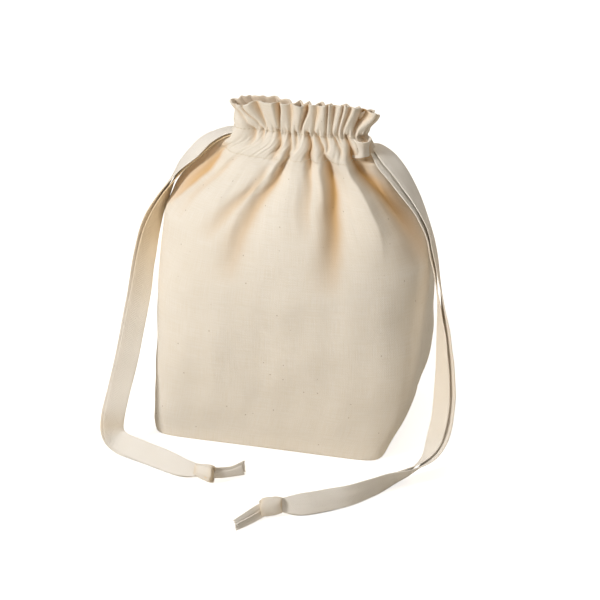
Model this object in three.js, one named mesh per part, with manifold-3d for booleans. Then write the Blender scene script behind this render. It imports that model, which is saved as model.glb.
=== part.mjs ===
import * as THREE from "three";
import { mergeVertices } from "three/addons/utils/BufferGeometryUtils.js";
import Module from "manifold-3d";

// A canvas kinchaku pouch, pulled in at the neck by two flat cotton tapes that leave it
// at the left and the right. Millimetres, +Z up. The base stands on z = 0 and the front
// faces -Y. The body leans a little to the right, because it is soft and empty.

const wasm = await Module();
wasm.setup();
const { Manifold } = wasm;

// Driving dimensions
const BASE_WIDTH = 165;
const BASE_DEPTH = 100;
const PLY = 0.8; // one layer of canvas
const DOUBLE_PLY = 1.5; // the folded hem that stands up as a frill
const TAPE_WIDTH = 15;
const TAPE_THICKNESS = 0.9;
const BODY_HEIGHT = 210; // up to the row of stitching under the casing
const FRILL_HEIGHT = 21; // from the row of stitching above the casing up to the rim
const TAPE_ROOM = 1; // how much higher the casing is inside than the tape is wide
const SEAM_ROOM = 1; // what the two rows of stitching leave free above and below that
const CHANNEL_RISE = 0.3; // the channel starts this far above the lower stitching
const CHANNEL_HEIGHT = TAPE_WIDTH + TAPE_ROOM;
const CASING_HEIGHT = CHANNEL_HEIGHT + SEAM_ROOM;
const SEAM_LOWER = BODY_HEIGHT;
const SEAM_UPPER = SEAM_LOWER + CASING_HEIGHT;
const CHANNEL_HALF = 1.8; // half the inside thickness of the casing
const CHANNEL_INSET = 4.8; // the middle of the casing lies this far inside its outline
const NECK_INSET = 7.4; // and the inner face of the neck this far
const NECK_STEP = 0.8; // the inner face steps in this far above the upper stitching
const NECK_FOOT = 1.4; // and steps out again this far below the lower stitching
const LANE = 0.85; // each tape keeps to its own side of the casing
const CASING_PLEAT = 2.2; // how far the pleats stand out over the casing
const BASE_ROOM = 1.6; // the inside of the base is this much smaller all round

// Pattern of the pouch from the base up, in three parts: height, left reach, right reach,
// half depth, squareness. Squareness 2 is an ellipse and a high value is a box. The driving
// dimensions stretch the pattern, and everything below that is placed on it.
const BODY_ROWS = [
  [0, -82.5, 82.5, 50, 12],
  [10, -86.5, 88.4, 51, 9],
  [24, -86, 95.5, 52, 7.5],
  [42, -86, 102, 53.5, 6],
  [62, -86, 105, 55, 5],
  [88, -86.5, 106.5, 56, 4],
  [115, -87, 107.4, 56, 3.2],
  [136, -85.5, 108, 54, 2.8],
  [150, -84, 106.5, 51.5, 2.6],
  [160, -83, 103.5, 48.5, 2.6],
  [170, -80, 98.5, 44.5, 2.5],
  [180, -76, 91.5, 39, 2.4],
  [188, -70, 85.5, 34, 2.4],
  [196, -62, 78.5, 28, 2.3],
  [203, -53, 71.5, 21, 2.3],
  [207, -38, 67, 16, 2.3],
];
const CASING_ROWS = [
  [210, -25, 63.5, 14, 2.4],
  [214, -22.3, 63, 13.6, 2.4],
  [218.5, -22, 63, 13.5, 2.4],
  [223, -22.3, 62.8, 13.6, 2.4],
  [227, -22.5, 62.5, 13.5, 2.4],
];
const FRILL_ROWS = [
  [231, -26, 64, 13.5, 2.4],
  [238, -31.5, 67.5, 13.5, 2.4],
  [244, -34, 69, 13.4, 2.4],
  [248, -34.5, 68, 13, 2.4],
];
const ROWS = [...BODY_ROWS, ...CASING_ROWS, ...FRILL_ROWS];

// From the pattern to the real size
const [, baseLeft, baseRight, baseHalf] = BODY_ROWS[0];
const bodyTop = CASING_ROWS[0][0];
const casingTop = CASING_ROWS[CASING_ROWS.length - 1][0];
const rim = FRILL_ROWS[FRILL_ROWS.length - 1][0];
const wide = (x) => (x * BASE_WIDTH) / (baseRight - baseLeft);
const deep = (y) => (y * BASE_DEPTH) / (2 * baseHalf);
const high = (z) => {
  if (z <= bodyTop) return (z * BODY_HEIGHT) / bodyTop;
  if (z <= casingTop) return SEAM_LOWER + ((z - bodyTop) * CASING_HEIGHT) / (casingTop - bodyTop);
  return SEAM_UPPER + ((z - casingTop) * FRILL_HEIGHT) / (rim - casingTop);
};
const place = (x, y, z) => new THREE.Vector3(wide(x), deep(y), high(z));
const real = ([left, right, depth, square]) => [wide(left), wide(right), deep(depth), square];
const grow = ([left, right, depth, square], by) => [left - by, right + by, depth + by, square];

const NECK = real(CASING_ROWS[2].slice(1)); // the outline halfway up the casing
const CASING_INSIDE = grow(NECK, -NECK_INSET);
const CHANNEL_MIDDLE = grow(NECK, -CHANNEL_INSET);

// Creases between the pleats: place round the neck (0 is the left side, 0.25 the front,
// 0.5 the right side, 0.75 the back) and how deep the crease is, 1 being the deepest.
const CREASES = [
  [0.038, 0.55], [0.092, 0.6], [0.16, 1], [0.211, 0.75], [0.252, 1], [0.295, 0.6],
  [0.327, 0.75], [0.352, 0.55], [0.3735, 0.65], [0.3945, 0.55], [0.435, 1], [0.53, 0.7],
  [0.572, 0.8], [0.61, 0.6], [0.655, 1], [0.69, 0.6], [0.728, 0.8], [0.756, 0.55],
  [0.79, 0.9], [0.835, 0.7], [0.868, 0.6], [0.905, 0.9], [0.94, 0.6], [0.97, 0.7],
];
// Depth of the deepest crease at each height.
const CREASE_DEPTH = [
  [186, 0], [196, 1.2], [203, 1.8], [207, 2], [210, CASING_PLEAT],
  [223, CASING_PLEAT], [227, 3], [231, 4.2], [238, 5.6], [248, 6.2],
];

// Soft folds that run down from the neck: top place, top height, foot place, foot height,
// depth, half width towards the left and half width towards the right.
const FOLDS = [
  [0.01, 206, 0, 180, 3, 0.03, 0.03],
  [0.085, 206, 0.072, 164, 2.4, 0.018, 0.018],
  [0.155, 206, 0.106, 140, 2.4, 0.02, 0.018],
  [0.192, 208, 0.176, 142, 6, 0.022, 0.017],
  [0.267, 211, 0.274, 192, 4.5, 0.009, 0.009],
  [0.264, 206, 0.263, 176, 1.4, 0.015, 0.015],
  [0.336, 209, 0.317, 140, 6.5, 0.013, 0.03],
  [0.385, 204, 0.35, 146, -2, 0.02, 0.02],
  [0.414, 207, 0.456, 154, 6, 0.018, 0.026],
  [0.545, 205, 0.552, 160, 4, 0.02, 0.02],
  [0.6, 206, 0.6, 150, 6, 0.02, 0.02],
  [0.655, 207, 0.665, 165, 4, 0.017, 0.017],
  [0.7, 207, 0.706, 145, 6.5, 0.018, 0.02],
  [0.752, 208, 0.75, 172, 3.5, 0.014, 0.014],
  [0.8, 207, 0.794, 150, 6, 0.02, 0.018],
  [0.855, 206, 0.862, 165, 4, 0.017, 0.017],
  [0.91, 205, 0.92, 150, 5, 0.02, 0.02],
  [0.955, 204, 0.956, 172, 3, 0.018, 0.018],
];
const FOLD_TOP = 210.5; // the folds start under the casing
const FOLD_FULL = 200; // and have their full depth from here down

// Slits in the casing: middle of the mouth, half width across it and direction it faces.
const SLIT_LEFT = { x: -20.5, y: 0, half: 6, turn: Math.PI };
const SLIT_RIGHT = { x: 60.5, y: -3.2, half: 10, turn: -0.6 };
const SLIT_DEPTH = 5; // half of what is cut away at each slit
const SLIT_LIP = 0.2; // the slit is this much lower than the channel
const SLIT_INTO = 4.4; // how far the cut goes in from the middle of the mouth
const TAB = { from: 0.44, to: 0.492, out: 6 }; // where the left tape bulges out of the right slit

// Tape routes: x, y, z, then the direction across the tape, then the share of the full
// width it has there. A tape is pinched in the slit and at the knot.
const LEFT_ROUTE = [
  [-17.7, 0, 218, 0.1, -1, 0, 0.56],
  [-26, -1, 219.3, 0.35, -0.93, 0.1, 0.8],
  [-37, -1, 219, 0.44, -0.89, 0.1, 1],
  [-49, -2, 213.5, 0.57, -0.82, 0.05, 1],
  [-60, -3, 203.5, 0.61, -0.79, 0, 1],
  [-70, -5, 192, 0.46, -0.86, 0.21, 1],
  [-79, -8, 180, 0.23, -0.87, 0.44, 1],
  [-85.5, -12, 169, -0.06, -0.85, 0.52, 1],
  [-90.5, -17, 157, -0.34, -0.78, 0.52, 1],
  [-93.5, -22, 144, -0.59, -0.67, 0.45, 1],
  [-94.5, -29, 127, -0.72, -0.57, 0.4, 1],
  [-95, -37, 107, -0.85, -0.47, 0.24, 1],
  [-96, -47, 85, -0.94, -0.34, 0.11, 1],
  [-99, -57, 61, -0.95, -0.27, 0.13, 1],
  [-103, -66, 39, -0.97, -0.15, 0.17, 1],
  [-107, -73, 24, -0.85, -0.25, 0.5, 1],
  [-105.5, -77.5, 14, -0.7, -0.6, -0.2, 1],
  [-98, -80, 8.6, -0.5, -0.5, -0.67, 1],
  [-83, -86, 7.6, -0.35, -0.5, -0.79, 1],
  [-62, -94, 7.4, -0.27, -0.5, -0.82, 1],
  [-47, -99.5, 7, -0.15, -0.6, -0.75, 0.85],
  [-38.2, -101.2, 6.8, 0, -0.5, -0.85, 0.6],
];
const RIGHT_ROUTE = [
  [61.6, 4.8, 217, -0.1, 1, 0, 0.5],
  [67.5, 4, 215.5, 0.15, 0.98, 0.1, 0.8],
  [76, 1.5, 209, 0.3, 0.93, 0.22, 1],
  [85, -1, 199.5, 0.3, 0.93, 0.2, 1],
  [94, -4, 187.5, 0.17, 0.98, 0, 1],
  [102, -7, 174.5, 0.05, 0.96, -0.2, 1],
  [108.5, -11, 160, 0, 0.94, -0.33, 1],
  [113, -16, 145, -0.02, 0.94, -0.34, 1],
  [117, -23, 127, 0.12, 0.93, -0.34, 1],
  [121, -31, 105, 0.4, 0.85, -0.34, 1],
  [124, -39, 80, 0.55, 0.77, -0.34, 1],
  [126, -48, 57, 0.66, 0.65, -0.38, 1],
  [125, -56, 39, 0.73, 0.51, -0.45, 1],
  [120, -62, 22, 0.5, 0.55, -0.67, 1],
  [110.5, -69, 10, 0.3, 0.65, -0.72, 1],
  [99, -82, 8, 0.15, 0.6, -0.8, 1],
  [87, -96, 8.1, 0.1, 0.45, -0.89, 1],
  [75, -108, 8.1, 0.13, 0.26, -0.96, 1],
  [60, -118, 8.1, 0.1, 0.05, -0.99, 1],
  [46, -126, 8, 0.05, -0.1, -0.98, 1],
  [33.9, -130, 7.4, 0, -0.1, -0.99, 0.6],
];
// The second strand of each tape lies against the first: how far off, on which side, and
// how far it is slid across near the pouch and lower down.
const LEFT_PAIR = { off: 3.2, slideHigh: 2.2, slideLow: 2.2 };
const RIGHT_PAIR = { off: -3, slideHigh: -4, slideLow: 3 };

// Knots: middle, direction of the tape coming in, length, half height and half thickness,
// then the two tail ends.
const LEFT_KNOT = {
  at: [-29.6, -102, 7.3],
  heading: -0.1,
  length: 16,
  tails: [[[-24, -101.5, 8.5], [-14, -98, 6.5], [-4, -92, 5]], [[-24, -103, 5], [-14, -99.5, 3.4], [-5, -94.5, 1.7]]],
};
const RIGHT_KNOT = {
  at: [25.6, -132.4, 7.3],
  heading: Math.PI + 0.27,
  length: 16,
  tails: [[[20, -135, 9], [14, -143, 7.5], [6, -155, 5.5]], [[22.5, -135.5, 5], [17.5, -146, 3.8], [9.5, -159, 2.6]]],
};
const KNOT_HALF_HEIGHT = 6.9;
const KNOT_HALF_THICK = 5.2;
const TAIL_WIDTH = 6;
const TAIL_THICKNESS = 1.6;

const smooth = (x) => {
  const s = Math.min(1, Math.max(0, x));
  return s * s * (3 - 2 * s);
};
const between = (table, x) => {
  if (x <= table[0][0]) return table[0][1];
  for (let k = 1; k < table.length; k++) {
    const [x0, y0] = table[k - 1];
    const [x1, y1] = table[k];
    if (x <= x1) return y0 + ((y1 - y0) * (x - x0)) / (x1 - x0);
  }
  return table[table.length - 1][1];
};

// A closed outline as a function of the share t of its length, from the left side
// round the front, with the direction that faces out.
const POLAR_STEPS = 1440;
function outline([left, right, depth, square]) {
  const middle = (left + right) / 2;
  const half = (right - left) / 2;
  const xs = [];
  const ys = [];
  const run = [];
  for (let k = 0; k <= POLAR_STEPS; k++) {
    const angle = Math.PI + (2 * Math.PI * k) / POLAR_STEPS;
    const c = Math.cos(angle);
    const s = Math.sin(angle);
    const reach = (Math.abs(c / half) ** square + Math.abs(s / depth) ** square) ** (-1 / square);
    xs.push(reach * c);
    ys.push(reach * s);
    run.push(k ? run[k - 1] + Math.hypot(xs[k] - xs[k - 1], ys[k] - ys[k - 1]) : 0);
  }
  return (t) => {
    const want = (t - Math.floor(t)) * run[POLAR_STEPS];
    let low = 0;
    let high = POLAR_STEPS;
    while (high - low > 1) {
      const mid = (low + high) >> 1;
      if (run[mid] <= want) low = mid;
      else high = mid;
    }
    const f = (want - run[low]) / (run[high] - run[low]);
    const x = xs[low] + f * (xs[high] - xs[low]);
    const y = ys[low] + f * (ys[high] - ys[low]);
    const nx = (Math.sign(x) * Math.abs(x / half) ** (square - 1)) / half;
    const ny = (Math.sign(y) * Math.abs(y / depth) ** (square - 1)) / depth;
    const n = Math.hypot(nx, ny);
    return { x: x + middle, y, nx: nx / n, ny: ny / n };
  };
}

// Pleats: a rounded column between two creases.
const pleats = CREASES.map(([at, depth], k) => {
  const [next, nextDepth] = CREASES[(k + 1) % CREASES.length];
  return { from: at, to: next < at ? next + 1 : next, depth, nextDepth };
});
function crease(t) {
  const place = t < CREASES[0][0] ? t + 1 : t;
  const pleat = pleats.find((p) => place >= p.from && place <= p.to);
  const s = (place - pleat.from) / (pleat.to - pleat.from);
  const near = Math.min(s, 1 - s) * 2;
  const depth = s < 0.5 ? pleat.depth : pleat.nextDepth;
  return depth * (1 - Math.sqrt(1 - (1 - near) ** 2));
}

function fold(t, z) {
  let sum = 0;
  for (const [top, topZ, foot, footZ, depth, toLeft, toRight] of FOLDS) {
    if (z >= FOLD_TOP || z <= footZ) continue;
    const down = Math.max(0, (topZ - z) / (topZ - footZ));
    const off = t - (top + (foot - top) * down);
    const side = off - Math.round(off);
    const width = (side < 0 ? toLeft : toRight) * (0.75 + 0.5 * down);
    const strength = smooth((1 - down) * 1.25) * smooth((FOLD_TOP - z) / (FOLD_TOP - FOLD_FULL));
    sum += depth * strength * Math.exp(-((side / width) ** 2));
  }
  return sum;
}

// Columns of the cloth: at each crease, at the crown of each pleat and beside them.
const columns = [];
for (const { from, to } of pleats) {
  const breadth = to - from;
  const shares = breadth > 0.055 ? [0, 0.1, 0.27, 0.5, 0.73, 0.9] : [0, 0.14, 0.5, 0.86];
  for (const share of shares) columns.push((from + share * breadth) % 1);
}
columns.sort((p, q) => p - q);

const outerRing = ([z, ...shape]) => {
  const at = outline(real(shape));
  return columns.map((t) => {
    const p = at(t);
    const depth = between(CREASE_DEPTH, z) * crease(t) + fold(t, z);
    return new THREE.Vector3(p.x - p.nx * depth, p.y - p.ny * depth, high(z));
  });
};
const plainRing = (shape, z) => {
  const at = outline(shape);
  return columns.map((t) => {
    const p = at(t);
    return new THREE.Vector3(p.x, p.y, z);
  });
};

// The inner face is the outer face moved in by the thickness of the cloth.
function inwards(rings, row, thickness) {
  const count = columns.length;
  return rings[row].map((p, i) => {
    const around = new THREE.Vector3().subVectors(
      rings[row][(i + 1) % count],
      rings[row][(i + count - 1) % count],
    );
    const up = new THREE.Vector3().subVectors(
      rings[Math.min(row + 1, rings.length - 1)][i],
      rings[row - 1][i],
    );
    const out = around.cross(up).normalize();
    return p.clone().addScaledVector(out, -thickness);
  });
}

// Joins rings of equal count into one skin. Each four-cornered face is split along its
// shorter diagonal, so that the two faces of a thin twisted piece never cross. Ends are
// closed with a fan.
function skin(rings, capped, loop = false) {
  const count = rings[0].length;
  const flat = rings.flat();
  const points = flat.flatMap((p) => [p.x, p.y, p.z]);
  const faces = [];
  const last = loop ? rings.length : rings.length - 1;
  for (let j = 0; j < last; j++) {
    const low = j * count;
    const upper = ((j + 1) % rings.length) * count;
    for (let i = 0; i < count; i++) {
      const k = (i + 1) % count;
      const [a, b, c, d] = [low + i, low + k, upper + k, upper + i];
      if (flat[a].distanceTo(flat[c]) <= flat[b].distanceTo(flat[d])) faces.push(a, b, c, a, c, d);
      else faces.push(a, b, d, b, c, d);
    }
  }
  if (capped) {
    const fan = (ring, flip) => {
      const hub = points.length / 3;
      const middle = rings[ring].reduce((sum, p) => sum.add(p), new THREE.Vector3()).divideScalar(count);
      if (capped.length) middle.set(capped[0], capped[1], middle.z);
      points.push(middle.x, middle.y, middle.z);
      for (let i = 0; i < count; i++) {
        const k = (i + 1) % count;
        const a = ring * count + i;
        const b = ring * count + k;
        if (flip) faces.push(hub, a, b);
        else faces.push(hub, b, a);
      }
    };
    fan(0, false);
    fan(rings.length - 1, true);
  }
  const geometry = new THREE.BufferGeometry();
  geometry.setAttribute("position", new THREE.Float32BufferAttribute(points, 3));
  geometry.setIndex(faces);
  return geometry;
}
function solid(geometry) {
  const bare = new THREE.BufferGeometry().setAttribute("position", geometry.getAttribute("position"));
  bare.setIndex(geometry.index);
  const merged = mergeVertices(bare, 1e-5);
  return new Manifold(
    new wasm.Mesh({
      numProp: 3,
      vertProperties: Float32Array.from(merged.attributes.position.array),
      triVerts: Uint32Array.from(merged.index.array),
    }),
  );
}
function shape(body) {
  const mesh = body.getMesh();
  const geometry = new THREE.BufferGeometry();
  const points = new Float32Array(mesh.numVert * 3);
  for (let i = 0; i < mesh.numVert; i++) {
    for (let c = 0; c < 3; c++) points[i * 3 + c] = mesh.vertProperties[i * mesh.numProp + c];
  }
  geometry.setAttribute("position", new THREE.BufferAttribute(points, 3));
  geometry.setIndex(new THREE.BufferAttribute(mesh.triVerts, 1));
  geometry.computeVertexNormals();
  return geometry;
}

// Body of the pouch
function pouch() {
  const outside = ROWS.map(outerRing);
  const rimRow = ROWS.length - 1;
  const frillFoot = rimRow - FRILL_ROWS.length + 1;
  const inside = [];
  for (let row = rimRow; row >= frillFoot; row--) inside.push(inwards(outside, row, DOUBLE_PLY));
  for (const z of [SEAM_UPPER + NECK_STEP, (SEAM_UPPER + SEAM_LOWER) / 2, SEAM_LOWER - NECK_FOOT]) {
    inside.push(plainRing(CASING_INSIDE, z));
  }
  for (let row = BODY_ROWS.length - 2; row > 0; row--) inside.push(inwards(outside, row, PLY));
  const [, ...base] = BODY_ROWS[0];
  inside.push(plainRing(grow(real(base), -BASE_ROOM), PLY));
  const cloth = solid(skin([...outside, ...inside], [0, 0]));
  const low = SEAM_LOWER + CHANNEL_RISE;
  const wall = (by, z) => plainRing(grow(CHANNEL_MIDDLE, by), z);
  const channel = solid(
    skin(
      [
        wall(CHANNEL_HALF, low),
        wall(CHANNEL_HALF, low + CHANNEL_HEIGHT),
        wall(-CHANNEL_HALF, low + CHANNEL_HEIGHT),
        wall(-CHANNEL_HALF, low),
      ],
      null,
      true,
    ),
  );
  const slits = [SLIT_LEFT, SLIT_RIGHT].map(({ x, y, half, turn }) => {
    const box = new THREE.BoxGeometry(2 * SLIT_DEPTH, 2 * half, CHANNEL_HEIGHT - SLIT_LIP);
    const mouth = place(x, y, (bodyTop + casingTop) / 2);
    box.translate(SLIT_DEPTH - SLIT_INTO, 0, 0).rotateZ(turn);
    box.translate(mouth.x, mouth.y, low + CHANNEL_HEIGHT / 2);
    return solid(box);
  });
  return slits.reduce((made, slit) => made.subtract(slit), cloth.subtract(channel));
}

// A flat tape swept along a route, with its eight-sided section turned to the given
// direction across.
function tape(route, { off = 0, slideHigh = 0, slideLow = 0 } = {}) {
  const places = route.map(([x, y, z]) => place(x, y, z));
  const rings = places.map((p, k) => {
    const [, , , wx, wy, wz, share] = route[k];
    const along = new THREE.Vector3()
      .subVectors(places[Math.min(k + 1, places.length - 1)], places[Math.max(k - 1, 0)])
      .normalize();
    const across = new THREE.Vector3(wx, wy, wz);
    across.addScaledVector(along, -across.dot(along)).normalize();
    const face = new THREE.Vector3().crossVectors(along, across);
    const half = (share * TAPE_WIDTH) / 2;
    const thick = TAPE_THICKNESS / 2;
    const free = Math.min(1, k / 2, (places.length - 1 - k) / 3);
    const slide = slideHigh + (slideLow - slideHigh) * smooth((k - 3) / 6);
    const middle = p.clone().addScaledVector(face, off).addScaledVector(across, slide * free);
    return [
      [half, -thick / 2], [half, thick / 2], [half - 0.5, thick], [0.5 - half, thick],
      [-half, thick / 2], [-half, -thick / 2], [0.5 - half, -thick], [half - 0.5, -thick],
    ].map(([u, v]) => {
      const q = middle.clone().addScaledVector(across, u).addScaledVector(face, v);
      q.z = Math.max(q.z, 0.05);
      return q;
    });
  });
  return solid(skin(rings, []));
}

// The part of a tape that stays inside the casing
function channelTape(from, to, lane, tab) {
  const at = outline(grow(CHANNEL_MIDDLE, lane));
  const places = columns
    .flatMap((t) => [t - 1, t, t + 1])
    .filter((t) => t > from + 0.002 && t < to - 0.002);
  places.push(from, to);
  if (tab) {
    for (let k = 0; k <= 10; k++) places.push(tab.from + ((tab.to - tab.from) * k) / 10 + 0.0004);
  }
  places.sort((p, q) => p - q);
  const kept = places.filter((t, k) => k === 0 || t - places[k - 1] > 0.0015);
  const middle = kept.map((t) => {
    const p = at(t);
    const s = tab ? (t - tab.from) / (tab.to - tab.from) : -1;
    const out = s > 0 && s < 1 ? tab.out * Math.sin(Math.PI * s) ** 2 : 0;
    return new THREE.Vector2(p.x + p.nx * out, p.y + p.ny * out);
  });
  const low = SEAM_LOWER + CHANNEL_RISE + (CHANNEL_HEIGHT - TAPE_WIDTH) / 2;
  const rings = middle.map((p, k) => {
    const along = new THREE.Vector2()
      .subVectors(middle[Math.min(k + 1, middle.length - 1)], middle[Math.max(k - 1, 0)])
      .normalize();
    const face = new THREE.Vector2(along.y, -along.x).multiplyScalar(TAPE_THICKNESS / 2);
    return [
      [1, low], [-1, low], [-1, low + TAPE_WIDTH], [1, low + TAPE_WIDTH],
    ].map(([side, z]) => new THREE.Vector3(p.x + side * face.x, p.y + side * face.y, z));
  });
  return solid(skin(rings, []));
}

// An overhand knot pulled tight into a flat cuff, with two short tails
function knot({ at, heading, length, tails }) {
  const centre = place(...at);
  const shares = [-0.5, -0.46, -0.3, -0.05, 0.2, 0.4, 0.5];
  const sizes = [0.72, 0.92, 1, 0.97, 1, 0.86, 0.6];
  const sides = 20;
  const rings = shares.map((share, k) => {
    const ring = [];
    for (let i = 0; i < sides; i++) {
      const angle = (2 * Math.PI * i) / sides;
      const c = Math.cos(angle);
      const s = Math.sin(angle);
      const grown = sizes[k] / (Math.abs(c) ** 2.6 + Math.abs(s) ** 2.6) ** (1 / 2.6);
      const u = share * length;
      const v = KNOT_HALF_THICK * c * grown;
      const w = KNOT_HALF_HEIGHT * s * grown;
      ring.push(
        new THREE.Vector3(
          centre.x + u * Math.cos(heading) - v * Math.sin(heading),
          centre.y + u * Math.sin(heading) + v * Math.cos(heading),
          centre.z + w,
        ),
      );
    }
    return ring;
  });
  const cuff = solid(skin(rings, []));
  const ends = tails.map((tail) => {
    const places = tail.map((p) => place(...p));
    const sweep = places.map((p, k) => {
      const along = new THREE.Vector3()
        .subVectors(places[Math.min(k + 1, 2)], places[Math.max(k - 1, 0)])
        .normalize();
      const across = new THREE.Vector3(0, 0, 1).addScaledVector(along, -along.z).normalize();
      const face = new THREE.Vector3().crossVectors(along, across);
      const half = (TAIL_WIDTH * [0.8, 0.62, 1][k]) / 2;
      return [[1, -1], [1, 1], [-1, 1], [-1, -1]].map(([a, b]) => {
        const q = p.clone().addScaledVector(across, a * half);
        q.addScaledVector(face, (b * TAIL_THICKNESS) / 2);
        q.z = Math.max(q.z, 0.1);
        return q;
      });
    });
    return solid(skin(sweep, []));
  });
  return ends.reduce((made, end) => made.add(end), cuff);
}

const CANVAS = 0xe3dccb;
const COTTON = 0xe6dfd0;
const object = new THREE.Group();
function add(name, body, color) {
  const material = new THREE.MeshStandardMaterial({ color, roughness: 0.95, metalness: 0 });
  material.name = name;
  const mesh = new THREE.Mesh(shape(body), material);
  mesh.name = name;
  object.add(mesh);
}

add("pouch_body", pouch(), CANVAS);
add("left_channel_tape", channelTape(0.05, 0.95, LANE, TAB), COTTON);
add("right_channel_tape", channelTape(-0.455, 0.42, -LANE, null), COTTON);
add("left_front_strand", tape(LEFT_ROUTE), COTTON);
add("left_back_strand", tape(LEFT_ROUTE, LEFT_PAIR), COTTON);
add("right_front_strand", tape(RIGHT_ROUTE), COTTON);
add("right_back_strand", tape(RIGHT_ROUTE, RIGHT_PAIR), COTTON);
add("left_knot", knot(LEFT_KNOT), COTTON);
add("right_knot", knot(RIGHT_KNOT), COTTON);

export default object;
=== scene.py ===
import math

import bpy
import numpy as np
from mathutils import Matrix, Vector


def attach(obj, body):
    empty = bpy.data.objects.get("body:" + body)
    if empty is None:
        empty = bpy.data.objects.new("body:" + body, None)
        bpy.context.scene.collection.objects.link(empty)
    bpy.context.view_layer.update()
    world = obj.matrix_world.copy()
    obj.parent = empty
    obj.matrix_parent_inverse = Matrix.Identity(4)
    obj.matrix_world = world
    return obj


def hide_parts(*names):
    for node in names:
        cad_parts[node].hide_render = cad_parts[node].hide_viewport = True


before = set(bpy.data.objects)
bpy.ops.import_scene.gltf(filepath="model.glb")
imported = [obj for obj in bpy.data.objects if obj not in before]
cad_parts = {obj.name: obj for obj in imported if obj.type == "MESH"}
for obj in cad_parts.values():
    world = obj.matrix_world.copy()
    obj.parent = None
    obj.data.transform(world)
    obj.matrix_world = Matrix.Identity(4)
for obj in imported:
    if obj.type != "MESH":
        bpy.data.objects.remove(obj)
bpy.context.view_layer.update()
MM = 0.001

# Camera at the photograph's viewing angle: the azimuth is counted from straight in front
# towards the right, and the focal length gives the photograph's scale at 600 x 600.
AZIMUTH = math.radians(13.885)
ELEVATION = math.radians(27)
DISTANCE = 1.35
SENSOR_WIDTH = 36
FOCAL_LENGTH = 113.56
TARGET = Vector((0.013087, 0, 0.095301))
back = Vector(
    (
        math.sin(AZIMUTH) * math.cos(ELEVATION),
        -math.cos(AZIMUTH) * math.cos(ELEVATION),
        math.sin(ELEVATION),
    )
)
camera_data = bpy.data.cameras.new("camera")
camera_data.sensor_width = SENSOR_WIDTH
camera_data.lens = FOCAL_LENGTH
camera_data.clip_end = 20
camera = bpy.data.objects.new("camera", camera_data)
camera.location = TARGET + DISTANCE * back
camera.rotation_euler = (-back).to_track_quat("-Z", "Y").to_euler()
bpy.context.collection.objects.link(camera)
bpy.context.scene.camera = camera


def smooth(x):
    s = np.clip(x, 0, 1)
    return s * s * (3 - 2 * s)


def bump(x, width):
    return np.exp(-((x / width) ** 2))


def through(xs, ys):
    """A smooth curve through the given values that never overshoots them."""
    xs = np.array(xs, float)
    ys = np.array(ys, float)
    steps = np.diff(xs)
    slopes = np.diff(ys) / steps
    both = slopes[:-1] * slopes[1:]
    total = slopes[:-1] + slopes[1:]
    tangents = np.zeros_like(ys)
    tangents[1:-1] = np.where(both > 0, 2 * both / np.where(total == 0, 1, total), 0)
    tangents[0] = slopes[0]
    tangents[-1] = slopes[-1]

    def at(x):
        x = np.clip(x, xs[0], xs[-1])
        k = np.clip(np.searchsorted(xs, x, side="right") - 1, 0, len(steps) - 1)
        s = (x - xs[k]) / steps[k]
        h = steps[k]
        return (
            ys[k] * (1 + 2 * s) * (1 - s) ** 2
            + tangents[k] * h * s * (1 - s) ** 2
            + ys[k + 1] * s * s * (3 - 2 * s)
            + tangents[k + 1] * h * s * s * (s - 1)
        )

    return at


def spline(points, steps):
    """Points on a smooth curve through the given rows, steps of them to each stretch."""
    p = np.array(points, float)
    before = np.vstack([2 * p[0] - p[1], p[:-2]])
    after = np.vstack([p[2:], 2 * p[-1] - p[-2]])
    out = []
    for k in range(len(p) - 1):
        for s in np.arange(steps) / steps:
            a, b, c, d = before[k], p[k], p[k + 1], after[k]
            out.append(
                0.5
                * (
                    2 * b
                    + (c - a) * s
                    + (2 * a - 5 * b + 4 * c - d) * s * s
                    + (3 * b - a - 3 * c + d) * s**3
                )
            )
    out.append(p[-1])
    return np.array(out)


def unit(v):
    return v / np.linalg.norm(v, axis=-1, keepdims=True)


def new_mesh(name, points, faces, uvs=None, shades=None, material=None):
    """A mesh object in metres from points in millimetres. uvs has a pair of metres for
    each corner of each face, and shades has one value of painted warm shade for each point."""
    mesh = bpy.data.meshes.new(name)
    mesh.from_pydata((np.array(points) * MM).tolist(), [], faces)
    if uvs is not None:
        layer = mesh.uv_layers.new(name="cloth")
        layer.data.foreach_set("uv", np.array(uvs, np.float32).ravel())
    if shades is not None:
        attribute = mesh.attributes.new("painted_shade", "FLOAT", "POINT")
        attribute.data.foreach_set("value", np.array(shades, np.float32))
    mesh.polygons.foreach_set("use_smooth", [True] * len(mesh.polygons))
    mesh.update()
    piece = bpy.data.objects.new(name, mesh)
    bpy.context.collection.objects.link(piece)
    if material is not None:
        mesh.materials.append(material)
    return piece


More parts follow.
